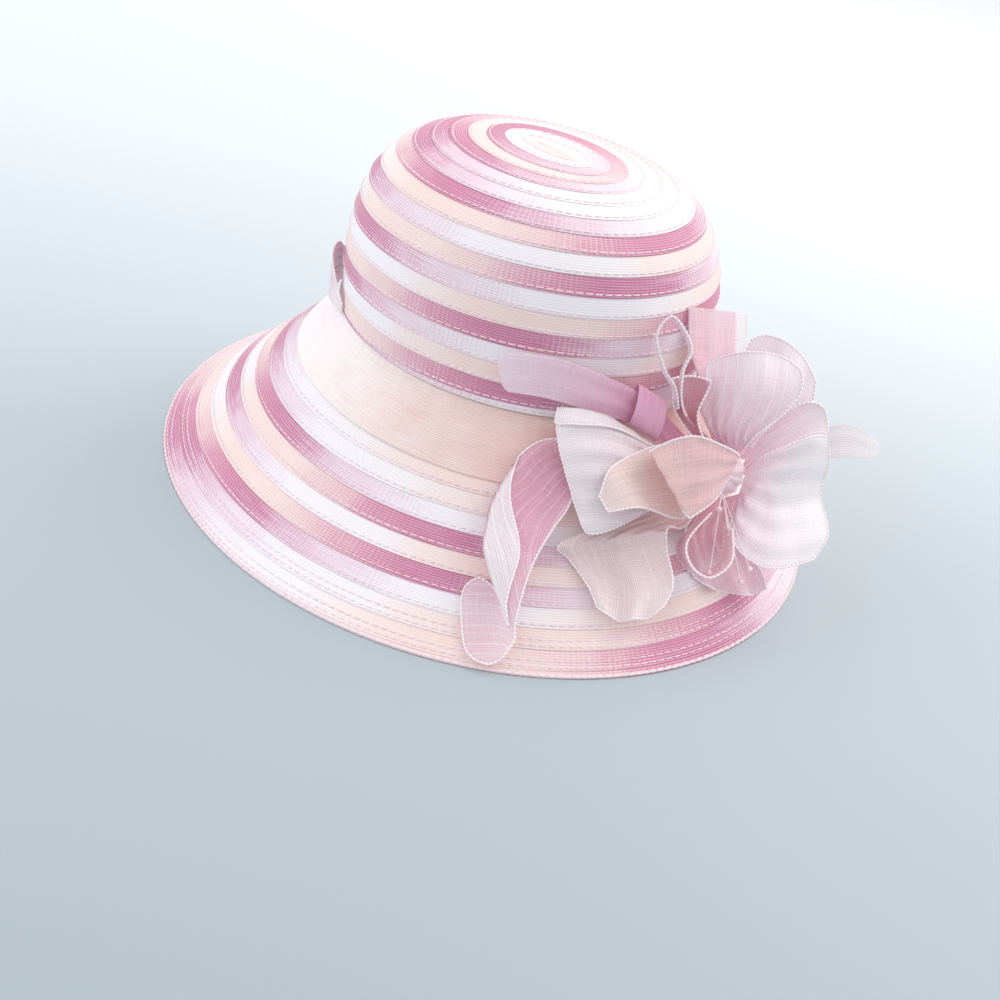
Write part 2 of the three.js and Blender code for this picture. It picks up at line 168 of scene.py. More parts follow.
# Tie under the flower: its way from the core, in degrees, where it starts and ends, its radius and
# the ridges of its turns of thread
STEM_TURN = 95.0
STEM_TILT = -47.0
STEM_GAP = 0.3
STEM_END = 15.2
STEM_RADIUS = 4.0
STEM_RIDGE = 0.05
STEM_RIDGE_STEPS = 6
STEM_STEPS = 25
STEM_SIDES = 24

# Stamens: where they start in the flower, how far they bow towards the eye, their radius and the beads
STAMEN_ROOT = np.array([1.0, -9.0, 9.0])
STAMEN_BOW = np.array([0, 0, 3.0])
STAMEN_RADIUS = 0.22
STAMEN_STEPS = 25
BEAD_RADIUS = 1.3

# Fold of the hatband: its place round the crown, half its height, and its gap to the crown's foot
FOLD_ANGLE = math.radians(141)
FOLD_HALF_HEIGHT = 12.0
FOLD_GAP = 0.3

# Camera: its place about the crown's axis, its view line and roll in degrees, and its lens
CAMERA_PLACE = (-445.1, -423.05, 366.3)
CAMERA_HEADING = 42.94
CAMERA_PITCH = -32.6
CAMERA_ROLL = 10.7
CAMERA_LENS = 46.8
CAMERA_SENSOR = 36
CAMERA_NEAR = 0.01

# Stage, in metres: half the floor's size, its tone going up towards the back as painted light, and the
# lights
FLOOR_HALF = 6.0
FLOOR_FADE = 0.42
FLOOR_FADE_START = 0.3
FLOOR_LIGHT_TONES = ((0.0, "#9fabb3"), (0.28, "#b8c3c9"), (0.55, "#dde5ea"), (1.0, "#f9fcfe"))
WORLD_TONE = "#fcfdff"
WORLD_STRENGTH = 0.9
LIGHT_AIM = (0, 0, 0.08)
KEY_LIGHT = dict(place=(1.0, -0.4, 1.2), size=1.2, power=13, code="#fffaf6")
FILL_LIGHT = dict(place=(-1.05, 0.9, 0.65), size=1.4, power=7, code="#fdfcff")

# Middle of the crown, where the millimetres above are measured from, in the part's own frame
CROWN_LOW, CROWN_HIGH = (np.array(corner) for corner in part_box("crown"))
HAT_CENTRE = (CROWN_LOW + CROWN_HIGH) / 2 * [1, 1, 0]


def to_frame(points):
    """Points in millimetres about the crown's axis, as metres in the part's frame."""
    return points * MM + HAT_CENTRE


# Colours

def linear(code):
    """Linear red, green, blue and alpha of an sRGB colour such as "#d98bb0"."""
    parts = np.array([int(code[i:i + 2], 16) for i in (1, 3, 5)]) / 255
    low = parts / 12.92
    high = ((parts + 0.055) / 1.055) ** 2.4
    return (*np.where(parts <= 0.04045, low, high), 1.0)


# The dyed ribbon of the rows and the hatband, as it comes round in its repeat. Beside the flower the
# hatband's colours also hold painted shade.
ROW_DYE = (
    (0.00, "#d188a5"), (0.07, "#da98af"), (0.14, "#ebc6cd"), (0.22, "#f7e1dc"), (0.36, "#f7e1da"),
    (0.44, "#f8ece9"), (0.50, "#f7f5f7"), (0.66, "#f7f4f8"), (0.74, "#f0e5ee"), (0.84, "#e5c6d7"),
    (0.92, "#ce8aa9"), (1.00, "#d188a5"),
)
# Hatband: white and peach dye, deepened to rosy tones from 0.74 to 0.90 of the way round, beside the flower,
# as painted shade of the flower
BAND_DYE_AND_SHADE = (
    (0.00, "#efd2ca"), (0.16, "#faf4f5"), (0.36, "#fefcfd"), (0.53, "#fbf4f2"), (0.63, "#f3dad3"),
    (0.74, "#ebc6bd"), (0.90, "#e8beb8"), (1.00, "#efd2ca"),
)
# How strongly the weft threads of a second colour show in each part of the row dye
ROW_TICKS = (
    (0.00, "#383838"), (0.10, "#a0a0a0"), (0.25, "#707070"), (0.44, "#585858"), (0.50, "#000000"),
    (0.66, "#000000"), (0.72, "#d0d0d0"), (0.86, "#d0d0d0"), (0.95, "#484848"), (1.00, "#383838"),
)
# The dyes of the flower, from the gathered end of a ribbon to its free end. The small loop's colours also
# hold painted shade deep inside it.
WHITE_DYE = ((0.0, "#f3cddb"), (0.3, "#f7e6ed"), (0.65, "#fbf4f7"), (1.0, "#fefbfc"))
PEACH_DYE = ((0.0, "#e9adb6"), (0.3, "#eec3c3"), (0.6, "#f5d3cb"), (1.0, "#f8e4e0"))
PALE_DYE = ((0.0, "#efb9d0"), (0.35, "#f3d3e0"), (0.7, "#f8e6ee"), (1.0, "#fbf1f5"))
PINK_DYE = ((0.0, "#f684bf"), (0.35, "#f9b4d7"), (0.7, "#fbd5e7"), (1.0, "#fde8f1"))
KNOT_DYE = ((0.0, "#fba6d4"), (0.5, "#fcb9de"), (1.0, "#fdc8e6"))
FAINT_PEACH_DYE = ((0.0, "#f0c2c4"), (0.4, "#f4dadb"), (1.0, "#f9eced"))
WARM_PINK_DYE = ((0.0, "#f0a3bf"), (0.5, "#f3bfd0"), (1.0, "#f6d3de"))
ROSE_DYE = ((0.0, "#ec9cba"), (0.5, "#f5bfd0"), (1.0, "#fadce5"))
# Small loop: pink organza whose colour deepens to dark rose towards the gathered end, as painted shade
# inside the loop
ROSE_DYE_AND_SHADE = ((0.0, "#bf4f74"), (0.55, "#cc7492"), (1.0, "#ecbccb"))
TWIST_DYE = ((0.0, "#e79dbb"), (0.46, "#eaa6c1"), (0.6, "#efbdd0"), (0.76, "#f6dfe8"), (1.0, "#f4d3de"))

# Organza finishes: the dye (for the small loop with painted shade), how see-through the cloth is, how
# much its ribs show, and where across the ribbon its white edge starts
ORGANZAS = {
    "white_organza": dict(stops=WHITE_DYE),
    "peach_organza": dict(stops=PEACH_DYE),
    "pale_pink_organza": dict(stops=PALE_DYE, ribbed=0.3),
    "pink_organza": dict(stops=PINK_DYE, see_through=0.6),
    "rose_organza": dict(stops=ROSE_DYE),
    "bright_pink_organza": dict(stops=KNOT_DYE, see_through=0.4),
    "faint_peach_organza": dict(stops=FAINT_PEACH_DYE, see_through=0.84),
    "warm_pink_organza": dict(stops=WARM_PINK_DYE, white_edge=0.55),
    "twisted_tail_organza": dict(stops=TWIST_DYE, see_through=0.84, ribbed=0.2, white_edge=0.0),
    "rose_organza_and_shade": dict(stops=ROSE_DYE_AND_SHADE, see_through=0.5),
}
RIB_TONE = "#fffafc"
EDGE_TONE = "#fcf6f9"
WARP_TONE = "#d8b4c3"
PLY_TONE = "#ffffff"
BEAD_CLOUD_TONE = "#fdf1f5"

# Sizes of the patterns, in millimetres. Slubs are threads spun unevenly. The organza's threads are
# drawn several times coarser than real ones, and so are the plies of the sewing thread, so that they show.
BLOTCH_SIZE = 50 / 3
SLUB_LENGTH = 20.0
SLUB_WIDTH = 0.5
TICK_PITCH = 2.4
TICK_WANDER = dict(size=4.0, reach=2.2)
ORGANZA_PITCH = 0.85
RIB_PITCH = 4.5
RIB_WANDER = dict(size=5.0, reach=5.0)
PLY_PITCH = 0.9
BEAD_CLOUD = 2.5
THREAD_RELIEF = 0.2

# Strength of the patterns: shares of the dye's repeat, powers that narrow a wave to a line, and weights
ROW_BLOTCH = 0.10
ROW_STREAK = 0.13
STREAK_DEPTH = 1.4
WARP_SHADE = 0.16
TICK_DYE = 0.42
TICK_POWER = 7.0
ORGANZA_BLOTCH = 0.16
RIB_POWER = 14.0
SLUB_POWER = 3.0
EDGE_SHARPNESS = 8.0
PLY_SHADE = 0.35


# Materials

def add(tree, kind, inputs=(), stops=(), **settings):
    """Outputs of a new node with its settings. Its inputs, in order or by name, are linked to a socket
    or set to a value. A colour ramp starts with two stops, and gets all of its places and sRGB colours."""
    node = tree.nodes.new("ShaderNode" + kind)
    for name, value in settings.items():
        setattr(node, name, value)
    for name, value in inputs.items() if isinstance(inputs, dict) else enumerate(inputs):
        if isinstance(value, bpy.types.NodeSocket):
            tree.links.new(value, node.inputs[name])
        else:
            node.inputs[name].default_value = value
    for _ in stops[2:]:
        node.color_ramp.elements.new(0.5)
    for number, (place, code) in enumerate(stops):
        element = node.color_ramp.elements[number]
        element.position = place
        element.color = linear(code)
    return node.outputs


def new_tree(name):
    """A new material and its empty node tree."""
    material = bpy.data.materials.new(name)
    material.use_nodes = True
    material.node_tree.nodes.clear()
    return material, material.node_tree


def cloth_place(tree, layer):
    """Place in a layer of the cloth: along it, and across it."""
    uv = add(tree, "UVMap", uv_map=layer)[0]
    return add(tree, "SeparateXYZ", (uv,))[:2]


def weighted(tree, *terms):
    """Sum of values, each times its weight."""
    total = 0.0
    for value, weight in terms:
        total = add(tree, "Math", (value, weight, total), operation="MULTIPLY_ADD")[0]
    return total


def thread_lines(tree, length, pitch):
    """Threads side by side: a wave from 0 to 1 that comes round at each pitch, in millimetres."""
    turned = add(tree, "Math", (length, TURN * CLOTH_UNIT / pitch), operation="MULTIPLY")[0]
    swing = add(tree, "Math", (turned,), operation="SINE")[0]
    return add(tree, "Math", (swing, 0.5, 0.5), operation="MULTIPLY_ADD")[0]


def wandering(tree, length, place, size, reach):
    """A length with a soft noise added, of a size and reach in millimetres, as threads lie unevenly."""
    vector = add(tree, "CombineXYZ", place)[0]
    drift = add(tree, "TexNoise", {"Vector": vector, "Scale": CLOTH_UNIT / size})[0]
    return weighted(tree, (length, 1.0), (drift, reach / CLOTH_UNIT))


def slubs(tree, along, across):
    """Long uneven streaks of single threads, from 0 to 1: noise drawn out along the first coordinate."""
    wide = add(tree, "Math", (across, SLUB_LENGTH / SLUB_WIDTH), operation="MULTIPLY")[0]
    drawn_out = add(tree, "CombineXYZ", (along, wide, 0.0))[0]
    return add(tree, "TexNoise", {"Vector": drawn_out, "Scale": CLOTH_UNIT / SLUB_LENGTH})[0]


def uneven_dye(tree, fade, amount):
    """The dye's place with soft blotches, as the bath takes unevenly."""
    place = add(tree, "TexCoord")["Object"]
    cloud = add(tree, "TexNoise", {"Vector": place, "Scale": 1 / (BLOTCH_SIZE * MM)})[0]
    blotch = add(tree, "Math", (cloud, 0.5), operation="SUBTRACT")[0]
    return add(tree, "Math", (blotch, amount, fade), operation="MULTIPLY_ADD")[0]


def woven_finish(tree, colour, height, alpha=1.0):
    """Soft fibres: a rough cloth with a faint sheen, and a low relief of threads from a height."""
    relief = {"Height": height, "Strength": 0.3, "Distance": THREAD_RELIEF * MM}
    bump = add(tree, "Bump", relief)[0]
    links = {
        "Base Color": colour, "Roughness": 0.6, "Normal": bump, "Sheen Weight": 0.2,
        "Sheen Roughness": 0.4, "Alpha": alpha,
    }
    shader = add(tree, "BsdfPrincipled", links)[0]
    add(tree, "OutputMaterial", {"Surface": shader})


def row_cloth(name, stops, warp, depth, tick_stops=()):
    """Woven ribbon, dyed in turns along its length. The eye sees warp lines at a pitch in millimetres,
    slubs, and in places weft threads of another part of the dye. The fade layer gives the colours, on
    the hatband with painted shade beside the flower, and a gamma of the colour deepens the lines
    without a change of the mean."""
    material, tree = new_tree(name)
    along, across = cloth_place(tree, "cloth")
    fade = cloth_place(tree, "fade")[0]
    streaks = slubs(tree, along, across)
    lines = thread_lines(tree, across, warp)
    place = weighted(tree, (uneven_dye(tree, fade, ROW_BLOTCH), 1.0), (streaks, ROW_STREAK))
    dye = add(tree, "Math", (place,), operation="FRACT")[0]
    colour = add(tree, "ValToRGB", (dye,), stops)[0]
    if tick_stops:
        moved_on = add(tree, "Math", (place, TICK_DYE), operation="ADD")[0]
        other_dye = add(tree, "Math", (moved_on,), operation="FRACT")[0]
        other = add(tree, "ValToRGB", (other_dye,), stops)[0]
        weft = thread_lines(tree, wandering(tree, along, (along, fade, 0.0), **TICK_WANDER), TICK_PITCH)
        bars = add(tree, "Math", (weft, TICK_POWER), operation="POWER")[0]
        strength = add(tree, "ValToRGB", (dye,), tick_stops)[0]
        ticks = add(tree, "Math", (bars, strength), operation="MULTIPLY")[0]
        colour = add(tree, "Mix", {0: ticks, 6: colour, 7: other}, data_type="RGBA")[2]
    relief = weighted(tree, (streaks, STREAK_DEPTH * depth), (lines, depth))
    gamma = add(tree, "Math", (relief, 1 - (STREAK_DEPTH + 1) / 2 * depth), operation="ADD")[0]
    deepened = add(tree, "Gamma", (colour, gamma))[0]
    grooves = add(tree, "Math", (lines, WARP_SHADE), operation="MULTIPLY")[0]
    shade = add(tree, "Mix", {0: grooves, 6: (1, 1, 1, 1), 7: linear(WARP_TONE)}, data_type="RGBA")[2]
    inputs = {0: 1.0, 6: deepened, 7: shade}
    shaded = add(tree, "Mix", inputs, data_type="RGBA", blend_type="MULTIPLY")[2]
    woven_finish(tree, shaded, lines)
    return material


def organza(name, stops, see_through=0.74, ribbed=0.08, white_edge=None):
    """Sheer woven organza of stiff fine threads. The eye sees through its gaps, and sees slubs and
    thicker pale ribs. The fade layer gives the colours from the gathered end to the free one, which for
    the small loop hold painted shade inside it, and the place across for a white edge."""
    material, tree = new_tree(name)
    along, across = cloth_place(tree, "cloth")
    fade, side = cloth_place(tree, "fade")
    colour = add(tree, "ValToRGB", (uneven_dye(tree, fade, ORGANZA_BLOTCH),), stops)[0]
    if white_edge is not None:
        past = add(tree, "Math", (side, white_edge), operation="SUBTRACT")[0]
        edge = add(tree, "Math", (past, EDGE_SHARPNESS), operation="MULTIPLY", use_clamp=True)[0]
        colour = add(tree, "Mix", {0: edge, 6: colour, 7: linear(EDGE_TONE)}, data_type="RGBA")[2]
    warp = thread_lines(tree, across, ORGANZA_PITCH)
    weft = thread_lines(tree, along, ORGANZA_PITCH)
    long_slubs = slubs(tree, along, across)
    cross_slubs = slubs(tree, across, along)
    loose = wandering(tree, across, (0.0, across, 0.0), **RIB_WANDER)
    ribs = add(tree, "Math", (thread_lines(tree, loose, RIB_PITCH), RIB_POWER), operation="POWER")[0]
    strongest = add(tree, "Math", (long_slubs, cross_slubs), operation="MAXIMUM")[0]
    thick = add(tree, "Math", (strongest, SLUB_POWER), operation="POWER", use_clamp=True)[0]
    pale = weighted(tree, (thick, 1.0), (ribs, ribbed))
    colour = add(tree, "Mix", {0: pale, 6: colour, 7: linear(RIB_TONE)}, data_type="RGBA")[2]
    cover = weighted(
        tree, (warp, 0.2), (weft, 0.15), (long_slubs, 0.4), (cross_slubs, 0.3), (ribs, ribbed))
    share = (cover, see_through, 1 - see_through)
    alpha = add(tree, "Math", share, operation="MULTIPLY_ADD", use_clamp=True)[0]
    woven_finish(tree, colour, cover, alpha)
    return material


def thread(name, code):
    """Twisted sewing thread, with its plies as slanted lines round it."""
    material, tree = new_tree(name)
    along, round_ = cloth_place(tree, "cloth")
    slant = add(tree, "Math", (round_, PLY_PITCH / CLOTH_UNIT, along), operation="MULTIPLY_ADD")[0]
    plies = thread_lines(tree, slant, PLY_PITCH)
    pale = add(tree, "Math", (plies, PLY_SHADE), operation="MULTIPLY")[0]
    colour = add(tree, "Mix", {0: pale, 6: linear(code), 7: linear(PLY_TONE)}, data_type="RGBA")[2]
    bump = add(tree, "Bump", {"Height": plies, "Strength": 0.5, "Distance": THREAD_RELIEF * MM})[0]
    links = {"Base Color": colour, "Roughness": 0.5, "Normal": bump, "Sheen Weight": 0.2}
    shader = add(tree, "BsdfPrincipled", links)[0]
    add(tree, "OutputMaterial", {"Surface": shader})
    return material


def pearl(name, code):
    """Small beads with a glossy coat over a soft cloud of a second tone."""
    material, tree = new_tree(name)
    place = add(tree, "TexCoord")["Object"]
    cloud = add(tree, "TexNoise", {"Vector": place, "Scale": 1 / (BEAD_CLOUD * MM)})[0]
    inputs = {0: cloud, 6: linear(code), 7: linear(BEAD_CLOUD_TONE)}
    colour = add(tree, "Mix", inputs, data_type="RGBA")[2]
    shader = add(tree, "BsdfPrincipled", {"Base Color": colour, "Roughness": 0.18, "Coat Weight": 0.6})[0]
    add(tree, "OutputMaterial", {"Surface": shader})
    return material


# Meshes

def unit(vectors):
    """Vectors divided by their lengths."""
    return vectors / np.maximum(np.linalg.norm(vectors, axis=-1, keepdims=True), 1e-9)


def run_length(points):
    """Distance along a path of points, from 0."""
    steps = np.linalg.norm(np.diff(points, axis=0), axis=1)
    return np.concatenate([[0.0], np.cumsum(steps)])


def pairs(first, second):
    """Two coordinates of a layer, side by side."""
    return np.stack(np.broadcast_arrays(first, second), -1)


def loft(name, points, layers, material, ring=False):
    """Closed skins through sections, points[piece, along, round], each section joined to the next.
    The ends are filled in, or in a ring the last section repeats the first and is joined to it."""
    pieces, count, sides = points.shape[:3]
    index = np.arange(pieces * count * sides).reshape(pieces, count, sides)
    here, there = index[:, :-1], index[:, 1:]
    quads = [np.stack([here, there, np.roll(there, -1, 2), np.roll(here, -1, 2)], -1).reshape(-1, 4)]
    if not ring:
        j = np.arange(sides // 2 - 1)
        for row, order in ((0, 1), (-1, -1)):
            end = index[:, row]
            cap = np.stack([end[:, j], end[:, j + 1], end[:, sides - 2 - j], end[:, sides - 1 - j]], -1)
            quads.append(cap.reshape(-1, 4)[:, ::order])
    quads = np.concatenate(quads)
    a, b, c, d = points.reshape(-1, 3)[quads].transpose(1, 0, 2)
    if (a * (np.cross(b, c) + np.cross(c, d))).sum() < 0:
        quads = quads[:, ::-1]
    joined = index.copy()
    if ring:
        joined[:, -1] = joined[:, 0]
        points = points[:, :-1]
    mesh = bpy.data.meshes.new(name)
    mesh.from_pydata(to_frame(points.reshape(-1, 3)).tolist(), [], joined.ravel()[quads].tolist())
    for layer, values in layers.items():
        flat = values.reshape(-1, 2)[quads.ravel()]
        mesh.uv_layers.new(name=layer).data.foreach_set("uv", flat.astype(np.float32).ravel())
    mesh.polygons.foreach_set("use_smooth", np.ones(len(mesh.polygons), dtype=bool))
    mesh.materials.append(material)
    piece = bpy.data.objects.new(name, mesh)
    bpy.context.collection.objects.link(piece)
    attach(piece, "root")
    return piece


def two_faced(front, back):
    """Sections of a thin sheet: across its front, then back across its reverse."""
    return np.concatenate([front, back[:, ::-1]], axis=1)[None]


def doubled(along, across):
    """The same layer on both faces of a thin sheet."""
    layer = pairs(along, across)
    return two_faced(layer, layer)


def tube(name, path, normal, radius, material, sides=6, ring=False):
    """Round cord along a path, with a radius for each of its points and a normal to turn from."""
    length = run_length(path)
    tangent = unit(np.gradient(path, axis=0))
    side = unit(np.cross(tangent, normal))
    up = np.cross(side, tangent)
    share = np.arange(sides) / sides
    angle = share * TURN
    spread = np.cos(angle)[:, None] * side[:, None] + np.sin(angle)[:, None] * up[:, None]
    points = path[:, None] + spread * np.reshape(radius, (-1, 1, 1))
    cloth = pairs(length[:, None] / CLOTH_UNIT, share)
    return loft(name, points[None], {"cloth": cloth[None]}, material, ring)


# Side views of the hat

class SideView:
    """Side view as a table against the distance down it: out, up and the outward normal."""

    def __init__(self, out, up):
        """Table from the points of the side view."""
        points = np.stack([out, up], 1)
        self.distance = run_length(points)
        self.length = self.distance[-1]
        along = unit(np.gradient(points, axis=0))
        self.columns = (out, up, -along[:, 1], along[:, 0])

    def at(self, distance, offset):
        """Out and up at a distance down, moved along the normal by an offset."""
        out, up, out_normal, up_normal = (np.interp(distance, self.distance, c) for c in self.columns)
        return out + offset * out_normal, up + offset * up_normal


def dome():
    """Superellipse from the tip to the foot: out and up are powers of a sine and a cosine."""
    angle = np.linspace(0, math.pi / 2, 4001)
    power = 2 / CROWN_ROUNDING
    out = CROWN_HALF_WIDTH * np.abs(np.sin(angle)) ** power
    return SideView(out, CROWN_FOOT + CROWN_RISE * np.abs(np.cos(angle)) ** power)


def skirt():
    """A hollow arc from the crown's foot, then a parabola that dips below the straight line to the edge."""
    turn = np.linspace(0, HOLLOW_TURN, 200)
    arc = np.stack([HOLLOW_RADIUS * (1 - np.cos(turn)), CROWN_FOOT - HOLLOW_RADIUS * np.sin(turn)], 1)
    edge = np.array([SKIRT_REACH, 0])
    along = unit(edge - arc[-1])
    bend = (arc[-1] + edge) / 2 + BRIM_DIP * np.array([along[1], -along[0]])
    t = np.linspace(0, 1, 800)[1:, None]
    line = (1 - t) ** 2 * arc[-1] + 2 * t * (1 - t) * bend + t ** 2 * edge
    return SideView(*np.vstack([arc, line]).T)


DOME = dome()
SKIRT = skirt()
CROWN_PITCH = DOME.length / CROWN_ROWS
BRIM_PITCH = (SKIRT.length - BAND_WIDTH) / BRIM_ROWS


def crown_point(distance, offset, angle):
    """Point of the crown at a distance down from the tip: an oval round the straight start."""
    out, up = DOME.at(distance, offset)
    out = np.maximum(out, START_GAP)
    return np.stack(np.broadcast_arrays(
        out * np.cos(angle), (out + START_HALF_LENGTH) * np.sin(angle), up), -1)


def skirt_point(distance, offset, angle):
    """Point of the skirt at a distance down from the crown's foot: an oval that widens and shifts."""
    out, up = SKIRT.at(distance, offset)
    spread = out / SKIRT_REACH
    width = CROWN_HALF_WIDTH + (BRIM_HALF_WIDTH - CROWN_HALF_WIDTH) * spread
    length = CROWN_HALF_LENGTH + (BRIM_HALF_LENGTH - CROWN_HALF_LENGTH) * spread
    shift = np.maximum(spread, 0) * BRIM_SIDE_SHIFT
    return np.stack(np.broadcast_arrays(
        shift + width * np.cos(angle), length * np.sin(angle), np.maximum(up, FLOOR_GAP)), -1)


# Sewn rows

def spiral(start, stop, pitch, high, per_turn, turn_start):
    """Spiral of rows, wound clockwise: its angles, and its upper and lower edges down the side view."""
    turns = (stop - start) / pitch + 1
    wound = np.linspace(SPIRAL_START, turns - SPIRAL_END, int(turns * per_turn))
    lower = start + pitch * wound
    upper = np.clip(lower - pitch - ROW_LAP, high, stop)
    return turn_start - wound * TURN, upper, np.clip(lower, start, stop)


def row_offset(across, sink):
    """Height of a lapped row: it rises from its upper edge to its lower one, with a slight bulge."""
    return ROW_LIFT * across + ROW_BULGE * np.sin(math.pi * across) - sink


def sewn_rows(name, point, edges, dye, sink, material):
    """One long ribbon wound in a spiral: across it from edge to edge, on both faces. The dye goes on
    with the ribbon's length, and runs ahead near the tip by a bell curve of that length."""
    angle, upper, lower = edges
    distance = upper[:, None] + (lower - upper)[:, None] * ROW_PLACES
    offset = row_offset(ROW_PLACES, sink(distance))
    front = point(distance, offset, angle[:, None])
    back = point(distance, offset - RIBBON_THICK, angle[:, None])
    length = run_length(front[:, ROW_MIDDLE])[:, None]
    ahead = dye["tip"] * np.exp(-(length / TIP_LENGTH) ** 2)
    fade = length / dye["repeat"] + dye["start"] + ahead
    layers = {
        "cloth": doubled(length / CLOTH_UNIT, distance / CLOTH_UNIT),
        "fade": doubled(fade, ROW_PLACES),
    }
    return loft(name, two_faced(front, back), layers, material)


def row_stitches(name, point, edges, insets, sink, material):
    """Running stitches along the rows: short threads of round section that dip at both ends."""
    angle, upper, lower = edges
    threads = []
    for inset, first in insets:
        use = (lower - upper > inset + ROW_LAP) & (lower > first)
        distance = lower[use] - inset
        across = (distance - upper[use]) / (lower - upper)[use]
        offset = row_offset(across, sink(distance))
        path = point(distance, offset, angle[use])
        normal = unit(point(distance, offset + 1, angle[use]) - path)
        threads.append(stitch_points(path, normal))
    points = np.concatenate(threads)
    places = np.linspace(0, STITCH_LENGTH / CLOTH_UNIT, points.shape[1])[:, None]
    cloth = pairs(places, np.arange(STITCH_SIDES) / STITCH_SIDES)
    cloth = np.broadcast_to(cloth, (*points.shape[:3], 2))
    return loft(name, points, {"cloth": cloth}, material)


def stitch_points(path, normal):
    """Sections of all the stitches along a path, as points[stitch, along, round]."""
    length = run_length(path)
    middles = np.arange(STITCH_PITCH, length[-1] - STITCH_PITCH, STITCH_PITCH)
    along = middles[:, None] + STITCH_LENGTH / 2 * STITCH_PLACES
    place, up = (
        np.stack([np.interp(along, length, column) for column in table.T], -1) for table in (path, normal))
    side = unit(np.cross(np.gradient(place, axis=1), up))
    angle = np.arange(STITCH_SIDES) / STITCH_SIDES * TURN
    spread = np.cos(angle)[:, None] * side[:, :, None] + np.sin(angle)[:, None] * up[:, :, None]
    return (place + up * STITCH_HEIGHTS[:, None])[:, :, None] + spread * STITCH_RADII[:, None, None]


def crown_sink(distance):
    """The crown's rows lie on its line from the tip to the foot."""
    return 0 * distance


def crown(dyed, sewing):
    """Crown rows wound down from the straight start at the tip, and their stitches."""
    edges = spiral(0.0, DOME.length, CROWN_PITCH, 0.0, CROWN_STEPS, CROWN_TURN_START)
    rows = sewn_rows("crown_rows", crown_point, edges, CROWN_DYE, crown_sink, dyed)
    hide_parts("crown")
    insets = [(STITCH_INSET, CROWN_PITCH)]
    row_stitches("crown_stitches", crown_point, edges, insets, crown_sink, sewing)


def brim_sink(distance):
    """How far the brim's first row lies below the brim line, where it is tucked under the band."""
    return TUCK_SINK * np.clip((BAND_WIDTH + TUCK_SHOWS - distance) / TUCK_SLOPE, 0, 1)


def brim(dyed, sewing):
    """Brim rows wound out to the edge, their stitches, and the knotted cord of the edge."""
    edges = spiral(BAND_WIDTH, SKIRT.length, BRIM_PITCH, BAND_WIDTH - TUCK, BRIM_STEPS, BRIM_TURN_START)
    rows = sewn_rows("brim_rows", skirt_point, edges, BRIM_DYE, brim_sink, dyed)
    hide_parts("brim")
    first = BAND_WIDTH + FIRST_STITCHES * BRIM_PITCH
    second = SKIRT.length - DOUBLE_ROWS * BRIM_PITCH
    insets = [(STITCH_INSET, first), (SECOND_INSET, second)]
    row_stitches("brim_stitches", skirt_point, edges, insets, brim_sink, sewing)
    angle = np.linspace(0, TURN, EDGE_STEPS)
    path = skirt_point(SKIRT.length - EDGE_CORD_RADIUS, EDGE_CORD_RADIUS / 2, angle)
    path[:, 2] = EDGE_CORD_RADIUS * (1 + HEM_KNOT) + FLOOR_GAP
    knots = EDGE_CORD_RADIUS * (1 + HEM_KNOT * np.sin(angle * EDGE_KNOTS))
    tube("brim_edge", path, np.array([0, 0, 1.0]), knots, sewing, ring=True)


def hatband(cloth):
    """Wide soft ribbon round the crown's foot: tucked in at both edges, with soft folds and small puckers
    as sines of the angle that drift down the band."""
    angle = np.linspace(0, TURN, BAND_STEPS)[:, None]
    shown = np.linspace(TUCK_END + TUCK_RISE, BAND_WIDTH, BAND_COLUMNS)
    distance = np.concatenate([[-TUCK, TUCK_BEND, TUCK_END], shown])
    down = np.clip(distance / BAND_WIDTH, 0, 1)
    risen = np.clip((distance - TUCK_END) / TUCK_RISE, 0, 1)
    folds = sum(depth * (1 + np.sin(count * angle + slant * down)) for depth, count, slant in BAND_FOLDS)
    swing = PUCKER_SWING * np.sin(PUCKER_SWINGS * angle)
    puckers = PUCKER_DEPTH * np.sin(PUCKERS * angle + swing) * np.exp(-PUCKER_FADE * down)
    relief = (folds * np.sin(math.pi * down) + puckers + BAND_RELIEF) * risen
    base = (BAND_SINK - BAND_LOW) * risen - BAND_SINK
    faces = []
    for depth in (0.0, RIBBON_THICK):
        offset = base + relief - depth
        inside = crown_point(DOME.length + np.minimum(distance, 0), offset, angle)
        outside = skirt_point(np.maximum(distance, 0), offset, angle)
        faces.append(np.where((distance < 0)[:, None], inside, outside))
    length = run_length(faces[0][:, BAND_MIDDLE])[:, None]
    layers = {
        "cloth": doubled(length / CLOTH_UNIT, distance / CLOTH_UNIT),
        "fade": doubled(angle / TURN, down),
    }
    band = loft("hatband_ribbon", two_faced(*faces), layers, cloth, ring=True)
    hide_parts("hatband")


